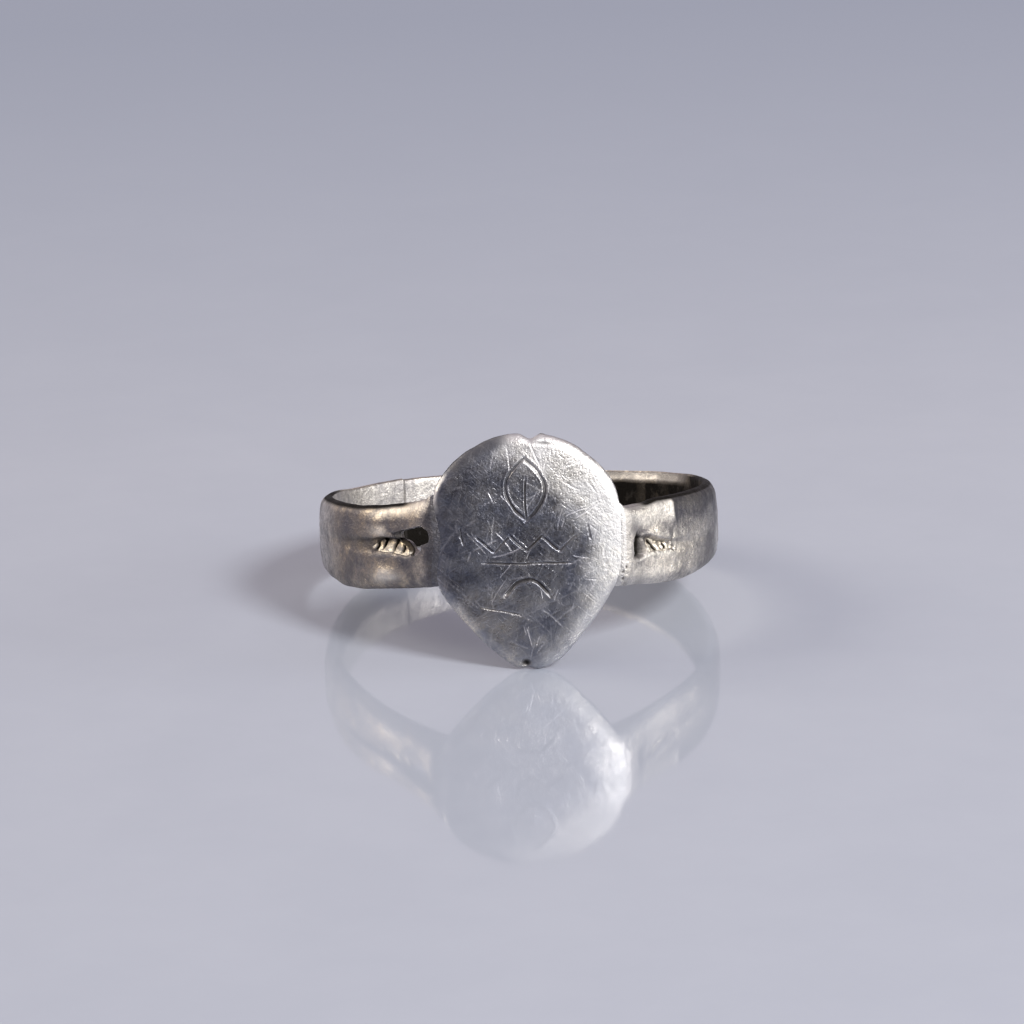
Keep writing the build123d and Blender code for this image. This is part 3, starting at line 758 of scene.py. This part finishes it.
def make_arm(side, material_arm, material_solder):
    """One arm of the band, from behind the plate to the seam, and its solder at the plate."""
    turn = math.radians(SEAM_ANGLE)
    turn = turn if side < 0 else 2 * math.pi - turn
    end = FACET + (turn - TANGENT) * BAND_R - SEAM_HALF
    near = np.arange(0, FINE_TO, FINE_STEP)
    far = np.arange(FINE_TO, end, COARSE_STEP)
    d = np.concatenate([near, far, [end]])[:, None]
    v = np.sin(np.linspace(-1, 1, ROWS_OUT) * math.pi / 2 * 0.98) / math.sin(math.pi / 2 * 0.98)
    v = (0.6 * v + 0.4 * np.linspace(-1, 1, ROWS_OUT))[None, :]
    mid_s = d + (edge_x(side, 0.0) - HEAD_HALF) * (1 - smooth(d / 1.6))
    top, low = half_width(side, mid_s, True), half_width(side, mid_s, False)
    z = np.where(v > 0, v * top, v * low)
    plate_edge = edge_x(side, z)
    s = d + (plate_edge - HEAD_HALF) * (1 - smooth(d / 1.6))
    px, py, nx, ny = profile(s)
    depth = relief(side, s, z)
    patch = leaf_patch(side, s, z)
    out = surface(side, s, v) - depth - 0.16 * smooth((patch - 0.03) / 0.1)
    y = py + ny * out
    x = px + nx * out
    plate_y = -(PLATE_FACE - face_drop(side * plate_edge[0], z[0], np.zeros(z[0].shape)))
    y = y + (plate_y - y[0])[None, :] * (1 - smooth(d / 1.15))
    x = x + (plate_edge[0] - x[0])[None, :] * (1 - smooth(d / 0.5))

    # inner side on the finger hole
    mid_x, mid_y, _, _ = profile(mid_s)
    phi = np.arctan2(mid_x, -mid_y)
    w = np.linspace(1, -1, ROWS_IN)[None, :]
    inner_z = np.where(w > 0, w * (top - 0.1), w * (low - 0.1))
    along_s = s[:, :1]
    wear = 0.02 * smooth((np.abs(w) - 0.8) / 0.2)
    if side > 0:
        worn = smooth((along_s - 14.0) / 3.0) * smooth((30.0 - along_s) / 4.0)
        wear = wear + 0.12 * smooth((w - 0.72) / 0.26) * worn
    radius = BORE_R + 0.004 + wear + 0.008 * (1 + noise(phi * BORE_R, inner_z, side, 0.9, 95, 2))
    inner_x, inner_y = radius * np.sin(phi), -radius * np.cos(phi)

    t = np.linspace(0, 1, ROWS_WALL + 2)[1:-1]

    def wall(first, last, rise):
        """The band's edge between its two sides; rise is how fast it reaches the last one's height."""
        (x0, y0, z0), (x1, y1, z1) = first, last
        return x0 + (x1 - x0) * t, y0 + (y1 - y0) * t, z0 + (z1 - z0) * rise

    outer = x, y, z
    inner = inner_x, inner_y, inner_z
    up = wall([c[:, -1:] for c in outer], [c[:, :1] for c in inner], t**3)
    down = wall([c[:, -1:] for c in inner], [c[:, :1] for c in outer], 1 - (1 - t) ** 3)
    loops = np.stack([np.hstack(parts) for parts in zip(outer, up, inner, down)], -1)
    laps = lap_loops(side, z[0], inner_z[0], phi[0, 0], t)

    # painted shade on the top edge and its wall, from the shoulder towards the back
    rim_shade = smooth((d - 1.0) / 1.2) * (1 - smooth((along_s - 13.0) / 4.0))
    outside = outer_masks(side, d, s, z, v, depth, rim_shade)
    inside = inner_masks(side, along_s, w, inner_z)
    top_wall = {"grime_and_shade": rim_shade, "warm": 0.5}
    masks = {}
    for key in MASKS:
        parts = zip((outside, top_wall, inside, LOW_WALL_MASKS), (z, up[0], inner_z, down[0]))
        mask = np.hstack([values.get(key, 0.0) + 0 * place for values, place in parts])
        masks[key] = np.vstack([np.full(laps.shape[:2], LAP_MASKS.get(key, 0.0)), mask])

    loops = np.concatenate([laps, loops]) * (side, 1, 1)
    SEAM_ENDS[side] = loops[-1]
    SEAM_GRIME_AND_SHADE[side] = masks["grime_and_shade"][-1]
    points = to_row(loops[..., 0], loops[..., 1], loops[..., 2])
    name = SIDE_NAME[side]
    split = len(laps) + SOLDER_ROWS
    build(
        f"{name}_solder_fillet", points[: split + 1], {key: masks[key][: split + 1] for key in MASKS},
        material_solder, f"{name}_solder",
    )
    return build(
        f"{name}_arm_worn", points[split:], {key: masks[key][split:] for key in MASKS},
        material_arm, f"{name}_arm",
    )


def make_ornament(side, material):
    """The worn leaves in a shoulder pocket, as a closed relief that stands on the pocket's floor."""
    low = {LEFT: 0.93, RIGHT: 1.5}[side]
    s = WORN_START[side] + np.arange(low, LEAVES_TO[side], 0.022)[:, None]
    floor_z, roof_z = leaf_span(side, s)
    z = floor_z - 0.03 + (roof_z - floor_z + 0.06) * np.linspace(0, 1, 54)[None, :]
    s = s + 0 * z
    top, bottom = half_width(side, s, True), half_width(side, s, False)
    v = np.where(z > 0, z / top, z / bottom)
    px, py, nx, ny = profile(s)
    depth = relief(side, s, z)
    patch = leaf_patch(side, s, z)
    base = surface(side, s, v)
    out = base - depth - 0.16 * (1 - smooth((patch + 0.03) / 0.1))
    sunk = base - depth - 0.34
    upper = np.stack([px + nx * out, py + ny * out, z], -1)
    under = np.stack([px + nx * sunk, py + ny * sunk, z], -1)
    loops = np.concatenate([upper, under[:, ::-1]], 1)
    dark = np.clip(1.3 * slits(side, s - WORN_START[side], z) + smooth((depth - 0.2) / 0.12) * 0.7, 0, 1)
    masks = {
        "grime_and_shade": np.concatenate([dark, 0 * s + 1], 1),
        "rubbed_and_highlight": np.concatenate([(1 - dark) * smooth((0.22 - depth) / 0.1), 0 * s], 1),
        "oxide_and_shade": np.concatenate([0.5 * smooth((depth - 0.05) / 0.2), 0 * s], 1),
        "warm": np.full(loops.shape[:2], 1.0 if side < 0 else 0.6),
    }
    points = to_row(side * loops[..., 0], loops[..., 1], loops[..., 2])
    name = f"{SIDE_NAME[side]}_ornament"
    build(f"{name}_leaves", points, masks, material, name)


def make_seam(material):
    """Thin solder line that fills the gap between the two arms' ends."""
    one, two = SEAM_ENDS[LEFT], SEAM_ENDS[RIGHT]
    middle = (one.mean(0) + two.mean(0)) / 2
    share = np.linspace(0, 1, 7)[:, None, None]
    line = one + (two - one) * share
    sink = 0.006 + 0.014 * np.sin(share * math.pi)
    away = line - middle
    line = line - away / np.linalg.norm(away, axis=-1, keepdims=True) * sink
    points = to_row(line[..., 0], line[..., 1], line[..., 2])
    full = np.ones(points.shape[:2])
    # the seam is at least as dark as the arms' ends, whose grime mask holds painted shade
    grime_and_shade = np.maximum(0.45, (SEAM_GRIME_AND_SHADE[LEFT] + SEAM_GRIME_AND_SHADE[RIGHT]) / 2) * full
    masks = {"grime_and_shade": grime_and_shade, "rubbed_and_highlight": 0 * full, "warm": 0.3 * full}
    build("seam_solder_line", points, masks, material, "seam_solder")


# ---- materials
def node(tree, kind, **inputs):
    made = tree.nodes.new(kind)
    for key, value in inputs.items():
        name = key.replace("_", " ")
        if name in made.inputs:
            made.inputs[name].default_value = value
        else:
            setattr(made, key, value)
    return made


def feed(tree, socket, value):
    """Give a node's input a number, a colour or a link."""
    if isinstance(value, bpy.types.NodeSocket):
        tree.links.new(value, socket)
    else:
        socket.default_value = value


def mix_colour(tree, factor, one, two, blend="MIX"):
    made = tree.nodes.new("ShaderNodeMix")
    made.data_type = "RGBA"
    made.blend_type = blend
    feed(tree, made.inputs[0], factor)
    feed(tree, made.inputs[6], one)
    feed(tree, made.inputs[7], two)
    return made.outputs[2]


def maths(tree, operation, one, two=0.0, clamp=False):
    made = tree.nodes.new("ShaderNodeMath")
    made.operation = operation
    made.use_clamp = clamp
    feed(tree, made.inputs[0], one)
    feed(tree, made.inputs[1], two)
    return made.outputs[0]


def ranged(tree, value, low, high, to_low=0.0, to_high=1.0):
    made = tree.nodes.new("ShaderNodeMapRange")
    tree.links.new(value, made.inputs["Value"])
    for key, number in (("From Min", low), ("From Max", high), ("To Min", to_low), ("To Max", to_high)):
        made.inputs[key].default_value = number
    return made.outputs["Result"]


def noise_node(tree, coords, scale, detail=3.0, rough=0.55, distortion=0.0):
    made = node(tree, "ShaderNodeTexNoise", Scale=scale, Detail=detail, Roughness=rough)
    made.inputs["Distortion"].default_value = distortion
    tree.links.new(coords, made.inputs["Vector"])
    return made.outputs["Fac"]


def scratch_node(tree, coords, angle, scale, low, high, longer=18.0):
    """Fine parallel scratches in one direction of the X Z plane."""
    mapping = tree.nodes.new("ShaderNodeMapping")
    mapping.vector_type = "TEXTURE"
    mapping.inputs["Rotation"].default_value = (0, angle, 0)
    mapping.inputs["Scale"].default_value = (1.0, 2.5, longer)
    tree.links.new(coords, mapping.inputs["Vector"])
    return ranged(tree, noise_node(tree, mapping.outputs[0], scale, 2.0, 0.5, 0.3), low, high)


def new_material(name):
    material = bpy.data.materials.new(name)
    material.use_nodes = True
    tree = material.node_tree
    coords = tree.nodes.new("ShaderNodeTexCoord").outputs["Object"]
    return material, tree, tree.nodes["Principled BSDF"], coords


def silver(name, light, dark, tarnish, grime_and_shade_colour, rough, bump, warm_colour, line, oxide_and_shade_colour):
    """Worn silver: light metal, dull dark patches, grime in the hollows, fine scratches. rough is the
    lowest and highest roughness, bump the height of the relief in mm, line the strength of scratches."""
    material, tree, shader, coords = new_material(name)
    times = functools.partial(maths, tree, "MULTIPLY")
    plus = functools.partial(maths, tree, "ADD")
    mix = functools.partial(mix_colour, tree)
    grime_and_shade, rubbed_and_highlight, scratch, warm, oxide_and_shade = (
        node(tree, "ShaderNodeAttribute", attribute_name=mask).outputs["Fac"]
        for mask in ("grime_and_shade", "rubbed_and_highlight", "scratch", "warm", "oxide_and_shade")
    )
    broad = noise_node(tree, coords, 330.0, 3.0, 0.6)
    middle = noise_node(tree, coords, 1100.0, 5.0, 0.7)
    fine = noise_node(tree, coords, 4200.0, 3.0, 0.65)
    grain = noise_node(tree, coords, 11000.0, 2.0, 0.6)
    lines = None
    for angle, scale in ((0.25, 8000.0), (1.2, 7000.0), (2.3, 8500.0)):
        one = scratch_node(tree, coords, angle, scale, 0.6, 0.7)
        lines = one if lines is None else maths(tree, "MAXIMUM", lines, one)
    lines = maths(tree, "MAXIMUM", times(lines, line), scratch)
    patch = plus(times(broad, 0.55), times(middle, 0.45))
    patch = ranged(tree, patch, 0.43, 0.57)
    speck = plus(times(fine, 0.5), times(grain, 0.5))
    speck = ranged(tree, speck, 0.43, 0.57)
    colour = mix(patch, (*dark, 1), (*light, 1))
    warmth = times(warm, ranged(tree, middle, 0.35, 0.6, 0.45, 1.0), clamp=True)
    colour = mix(warmth, colour, (*warm_colour, 1), "MULTIPLY")
    colour = mix(times(speck, 0.55), colour, (*tarnish, 1))
    # rubbed wear and painted highlights lighten the colour
    colour = mix(times(rubbed_and_highlight, 0.55), colour, (*light, 1))
    # oxide and painted shade darken the colour
    oxide_and_shade_mix = times(oxide_and_shade, ranged(tree, middle, 0.35, 0.65, 1.0, 0.7), clamp=True)
    colour = mix(oxide_and_shade_mix, colour, (*oxide_and_shade_colour, 1))
    colour = mix(times(lines, 0.42), colour, (0.92, 0.9, 0.93, 1))
    # grime in the hollows and painted shade darken the colour
    grime_shade_amount = times(grime_and_shade, ranged(tree, middle, 0.3, 0.55, 0.92, 1.1), clamp=True)
    colour = mix(grime_shade_amount, colour, (*grime_and_shade_colour, 1))
    tree.links.new(colour, shader.inputs["Base Color"])
    low, high = rough
    blur = ranged(tree, patch, 0.0, 1.0, high, low)
    blur = plus(blur, times(speck, 0.12))
    blur = plus(blur, times(grime_shade_amount, 0.2))
    blur = plus(blur, times(scratch, 0.25))
    blur = plus(blur, times(rubbed_and_highlight, 0.07), clamp=True)
    tree.links.new(blur, shader.inputs["Roughness"])
    metal = maths(tree, "SUBTRACT", 1.0, times(grime_shade_amount, 0.6), clamp=True)
    tree.links.new(metal, shader.inputs["Metallic"])
    tree.links.new(ranged(tree, grime_shade_amount, 0.0, 1.0, 0.5, 0.06), shader.inputs["Specular IOR Level"])
    height = times(lines, -0.4)
    height = plus(height, times(fine, 0.8))
    height = plus(height, times(grain, 0.5))
    height = plus(height, times(middle, 0.9))
    upright = scratch_node(tree, coords, 0.0, 5200.0, 0.3, 0.7, 12.0)
    height = plus(height, times(upright, 0.1))
    bumped = tree.nodes.new("ShaderNodeBump")
    bumped.inputs["Strength"].default_value = 1.0
    bumped.inputs["Distance"].default_value = bump * MM
    tree.links.new(height, bumped.inputs["Height"])
    tree.links.new(bumped.outputs["Normal"], shader.inputs["Normal"])
    return material


# the face's bluish dark colour is oxide and painted shade of the dark surroundings the face reflects
face_silver = silver(
    "face_silver", light=(0.88, 0.87, 0.85), dark=(0.46, 0.48, 0.54), tarnish=(0.36, 0.36, 0.4),
    grime_and_shade_colour=(0.06, 0.055, 0.055), rough=(0.25, 0.36), bump=0.024, warm_colour=(0.92, 0.84, 0.72),
    line=0.35, oxide_and_shade_colour=(0.15, 0.16, 0.205),
)
band_silver = silver(
    "band_silver", light=(0.9, 0.87, 0.82), dark=(0.34, 0.33, 0.34), tarnish=(0.24, 0.22, 0.21),
    grime_and_shade_colour=(0.011, 0.0095, 0.008), rough=(0.27, 0.4), bump=0.050, warm_colour=(0.88, 0.74, 0.54),
    line=0.1, oxide_and_shade_colour=(0.11, 0.107, 0.125),
)
solder_silver = silver(
    "solder_silver", light=(0.92, 0.9, 0.87), dark=(0.42, 0.42, 0.45), tarnish=(0.31, 0.3, 0.31),
    grime_and_shade_colour=(0.03, 0.027, 0.025), rough=(0.27, 0.38), bump=0.035, warm_colour=(0.9, 0.78, 0.62),
    line=0.15, oxide_and_shade_colour=(0.13, 0.13, 0.155),
)
ornament_silver = silver(
    "ornament_silver", light=(0.93, 0.9, 0.82), dark=(0.42, 0.38, 0.34), tarnish=(0.3, 0.26, 0.21),
    grime_and_shade_colour=(0.02, 0.016, 0.012), rough=(0.25, 0.38), bump=0.045, warm_colour=(0.92, 0.8, 0.6),
    line=0.05, oxide_and_shade_colour=(0.13, 0.12, 0.12),
)

make_plate(face_silver)
left_arm = make_arm(LEFT, band_silver, solder_silver)
make_arm(RIGHT, band_silver, solder_silver)
make_ornament(LEFT, ornament_silver)
make_ornament(RIGHT, ornament_silver)
make_seam(solder_silver)


# ---- hole through the left shoulder
HOLE = [
    (2.28, 0.66), (1.95, 0.76), (1.4, 0.89), (0.85, 1.01), (0.41, 1.12), (0.16, 1.03), (-0.09, 0.89),
    (-0.19, 0.61), (-0.13, 0.33), (0.02, 0.21), (0.32, 0.14), (0.31, -0.07), (0.43, -0.23), (0.7, -0.36),
    (1.05, -0.46), (1.4, -0.3), (1.6, 0.02), (1.85, 0.18), (2.22, 0.34),
]  # distance along the shoulder from the head's corner, and height


def rounded(points, per):
    """A closed Catmull-Rom curve through the points."""
    points = np.array(points)
    out = []
    for k in range(len(points)):
        p0, p1, p2, p3 = (points[(k + step) % len(points)] for step in (-1, 0, 1, 2))
        for t in np.linspace(0, 1, per, endpoint=False):
            bend, twist = 2 * p0 - 5 * p1 + 4 * p2 - p3, 3 * p1 - p0 - 3 * p2 + p3
            out.append(0.5 * (2 * p1 + (p2 - p0) * t + bend * t**2 + twist * t**3))
    return np.array(out)


def make_cutter():
    """A tube with the hole's outline that runs into the shoulder, leaning a little to the back."""
    ring = rounded(HOLE, 6)
    run = np.linspace(-0.8, 2.6, 30)[:, None]
    middle = ring.mean(0)
    shrink = 1 - 0.1 * smooth(run / 1.4)
    s = middle[0] + (ring[None, :, 0] - middle[0]) * shrink
    z = middle[1] + (ring[None, :, 1] - middle[1]) * shrink
    into_x, into_y = 0.5, 0.866
    x = -(HEAD_HALF + s * math.cos(TANGENT)) + into_x * run
    y = -HEAD_FRONT + s * math.sin(TANGENT) + into_y * run
    x = x + 0.03 * noise(x, y, z, 0.35, 120, 2)
    z = z + 0.03 * noise(x, y, z, 0.35, 121, 2)
    # painted shade: the hole's walls are painted dark deeper in
    deep = smooth((run + 0.1) / 0.35) + 0 * s
    masks = {key: deep if key in ("grime_and_shade", "oxide_and_shade") else 0 * deep for key in MASKS}
    return link("hole_cutter", make_mesh("hole_cutter", to_row(x, y, z), masks))


def cut_hole(piece, cutter):
    """Take the cutter's shape out of a piece."""
    modifier = piece.modifiers.new("hole", "BOOLEAN")
    modifier.operation = "DIFFERENCE"
    modifier.solver = "EXACT"
    modifier.object = cutter
    graph = bpy.context.evaluated_depsgraph_get()
    result = bpy.data.meshes.new_from_object(piece.evaluated_get(graph))
    piece.modifiers.clear()
    piece.data = result
    shade(result, HOLE_SHARP_ANGLE)


hole_cutter = make_cutter()
cut_hole(left_arm, hole_cutter)
bpy.data.objects.remove(hole_cutter)

# ---- floor, lights and camera
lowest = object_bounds()[0][2]
FLOOR_HALF, FLOOR_GAP = 6.0, 0.00001  # metres


def make_floor():
    material, tree, shader, coords = new_material("floor_gloss")
    mottled = ranged(tree, noise_node(tree, coords, 120.0, 4.0, 0.6), 0.35, 0.65)
    colour = mix_colour(tree, mottled, (0.394, 0.430, 0.509, 1), (0.408, 0.444, 0.523, 1))
    place = tree.nodes.new("ShaderNodeSeparateXYZ")
    tree.links.new(coords, place.inputs[0])
    # painted shade: the floor is painted darker further back
    away = ranged(tree, place.outputs["Y"], 0.025, 0.125)
    colour = mix_colour(tree, away, colour, (0.265, 0.320, 0.419, 1))
    tree.links.new(colour, shader.inputs["Base Color"])
    shader.inputs["Roughness"].default_value = 0.055
    shader.inputs["IOR"].default_value = 1.46
    mesh = bpy.data.meshes.new("floor")
    corners = [(FLOOR_HALF * x, FLOOR_HALF * y) for x, y in ((-1, -1), (1, -1), (1, 1), (-1, 1))]
    mesh.from_pydata([(x, y, lowest - FLOOR_GAP) for x, y in corners], [], [(0, 1, 2, 3)])
    mesh.materials.append(material)
    floor = link("floor", mesh)


def make_light(name, size, energy, colour, place):
    """A rectangular light that faces the row's origin."""
    light = bpy.data.lights.new(name, "AREA")
    light.shape = "RECTANGLE"
    light.size, light.size_y = size
    light.energy, light.color = energy, colour
    lamp = link(name, light)
    lamp.location = place
    lamp.rotation_mode = "QUATERNION"
    lamp.rotation_quaternion = (-Vector(place)).to_track_quat("-Z", "Y")


def make_world():
    world = bpy.data.worlds.new("studio")
    world.use_nodes = True
    tree = world.node_tree
    back = tree.nodes["Background"]
    direction = tree.nodes.new("ShaderNodeTexCoord").outputs["Generated"]
    parts = tree.nodes.new("ShaderNodeSeparateXYZ")
    tree.links.new(direction, parts.inputs[0])
    side = maths(tree, "SUBTRACT", parts.outputs["Y"], parts.outputs["X"])
    behind = ranged(tree, side, -0.25, 0.75)
    above = ranged(tree, parts.outputs["Z"], 0.45, 0.9)
    pale = maths(tree, "MAXIMUM", behind, above)
    colour = mix_colour(tree, pale, (0.055, 0.05, 0.06, 1), (0.53, 0.475, 0.525, 1))
    tree.links.new(colour, back.inputs["Color"])
    back.inputs["Strength"].default_value = 1.0
    bpy.context.scene.world = world


def make_camera():
    azimuth, elevation = math.radians(-1.9), math.radians(18.65)
    roll = math.radians(-1.58)
    distance = 0.300
    view_width = 0.0523
    sensor = 36.0
    level = math.cos(elevation)
    back = Vector((math.sin(azimuth) * level, -math.cos(azimuth) * level, math.sin(elevation)))
    rotation = (-back).to_track_quat("-Z", "Y").to_matrix()
    right, up = rotation.col[0], rotation.col[1]
    aim = right * -0.00033 + up * 0.00062
    data = bpy.data.cameras.new("camera")
    data.sensor_width = sensor
    data.lens = sensor * distance / view_width
    data.clip_start, data.clip_end = 0.01, 100.0
    camera = link("camera", data)
    camera.location = back * distance + aim
    camera.rotation_mode = "QUATERNION"
    camera.rotation_quaternion = (rotation @ Matrix.Rotation(roll, 3, "Z")).to_quaternion()
    bpy.context.scene.camera = camera


make_floor()
make_world()
make_light("key", (0.15, 0.15), 3.0, (1.0, 0.975, 0.94), (0.3, -0.35, 0.38))
make_light("right", (0.22, 0.18), 0.95, (1.0, 0.97, 0.92), (0.54, -0.06, 0.15))
make_light("front_low", (0.18, 0.12), 0.22, (1.0, 0.97, 0.93), (0.34, -0.3, 0.05))
make_light("warm_left", (0.3, 0.24), 1.4, (1.0, 0.9, 0.72), (-0.48, 0.1, 0.32))
make_camera()
bpy.context.scene.view_settings.view_transform = "Standard"
